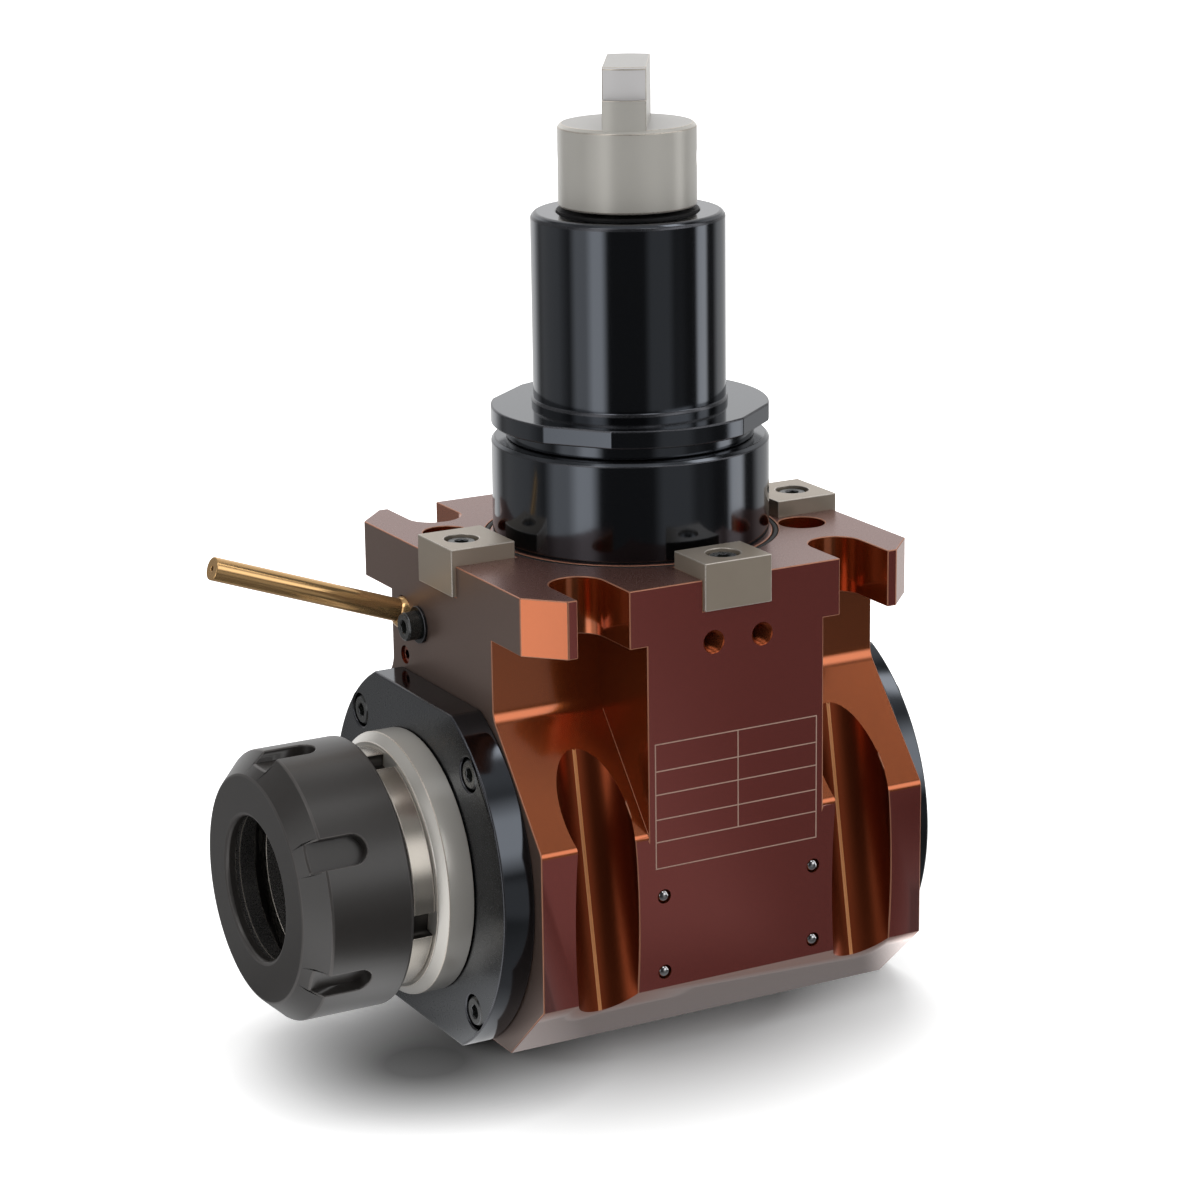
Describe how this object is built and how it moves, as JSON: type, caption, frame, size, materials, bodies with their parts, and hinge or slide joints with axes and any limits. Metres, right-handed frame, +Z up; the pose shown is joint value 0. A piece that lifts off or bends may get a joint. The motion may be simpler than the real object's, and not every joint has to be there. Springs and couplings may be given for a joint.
{
  "type": "live tool holder",
  "caption": "Right-angle driven tool holder for a lathe turret, with a shank drive, mitre gears, collet nut and coolant nozzle.",
  "frame": {"origin": "centre of the turret mounting face, on the axis of the shank", "axes": "+Z up the shank to the drive tang, -X out of the collet nut, -Y the plain front face with the two threaded holes"},
  "size_m": [0.1543, 0.0984, 0.2206],
  "materials": {
    "anodised_body": "brown anodised, fine milled",
    "black_oxide": "polished, black oxide",
    "ground_steel": "satin, ground",
    "key_steel": "satin, ground",
    "turned_steel": "bright turned",
    "nut_steel": "matt phosphate black",
    "nut_ring_steel": "hardened, ground",
    "gear_steel": "case hardened",
    "bearing_steel": "polished",
    "screw_black": "black oxide",
    "washer_zinc": "zinc plated",
    "brass": "drawn, satin",
    "copper_plug": "copper coloured",
    "seal_rubber": "nitrile"
  },
  "bodies": {
    "casing": {"housing": "anodised_body", "spigot": "black_oxide", "upper_sleeve": "black_oxide", "front_flange": "black_oxide", "rear_cover": "black_oxide", "key_right": "key_steel", "key_back": "key_steel", "key_left": "key_steel", "key_front": "key_steel", "lower_bearing_outer_ring": "bearing_steel", "upper_bearing_outer_ring": "bearing_steel", "front_bearing_outer_ring": "bearing_steel", "rear_bearing_outer_ring": "bearing_steel", "sealing_balls": "bearing_steel", "key_screws": "screw_black", "flange_screws": "screw_black", "rear_screws": "screw_black", "clamp_screw": "screw_black", "circlip": "screw_black", "clamp_washer": "washer_zinc", "gallery_plug": "copper_plug", "front_seal": "seal_rubber", "upper_seal": "seal_rubber", "rear_seal": "seal_rubber", "face_ring": "seal_rubber"},
    "spindle": {"spindle": "turned_steel", "output_gear": "gear_steel", "gear_key": "gear_steel", "gear_locknut": "gear_steel", "labyrinth_ring": "turned_steel", "front_bearing_inner_ring": "bearing_steel", "front_bearing_balls": "bearing_steel", "rear_bearing_inner_ring": "bearing_steel", "rear_bearing_balls": "bearing_steel"},
    "input": {"input_shaft": "ground_steel", "input_locknut": "gear_steel", "drive_coupling": "ground_steel", "coupling_pin": "ground_steel", "lower_bearing_inner_ring": "bearing_steel", "lower_bearing_balls": "bearing_steel", "upper_bearing_inner_ring": "bearing_steel", "upper_bearing_balls": "bearing_steel"},
    "nut_ring": {"nut_inner_ring": "nut_ring_steel"},
    "nut": {"collet_nut": "nut_steel"},
    "nozzle": {"nozzle_ball": "brass", "nozzle_tube": "brass"}
  },
  "joints": [
    {"name": "spindle_spin", "type": "hinge", "parent": "casing", "child": "spindle", "pos_m": [0, 0, -0.0713], "axis": [1, 0, 0], "continuous": true},
    {"name": "input_spin", "type": "hinge", "parent": "casing", "child": "input", "pos_m": [0, 0, 0], "axis": [0, 0, 1], "continuous": true},
    {"name": "nut_travel", "type": "slide", "parent": "spindle", "child": "nut_ring", "axis": [-1, 0, 0], "range_m": [0, 0.0135]},
    {"name": "nut_turn", "type": "hinge", "parent": "nut_ring", "child": "nut", "pos_m": [-0.085, 0, -0.0713], "axis": [-1, 0, 0], "range_deg": [0, 3240]},
    {"name": "nozzle_tilt", "type": "hinge", "parent": "casing", "child": "nozzle", "pos_m": [-0.0496, 0.0194, -0.01775], "axis": [0, 1, 0], "range_deg": [-40, 15]}
  ],
  "couplings": [
    {"joint": "input_spin", "follows": "spindle_spin", "ratio": 1},
    {"joint": "nut_travel", "follows": "nut_turn", "m_per_rad": 0.00023873}
  ]
}
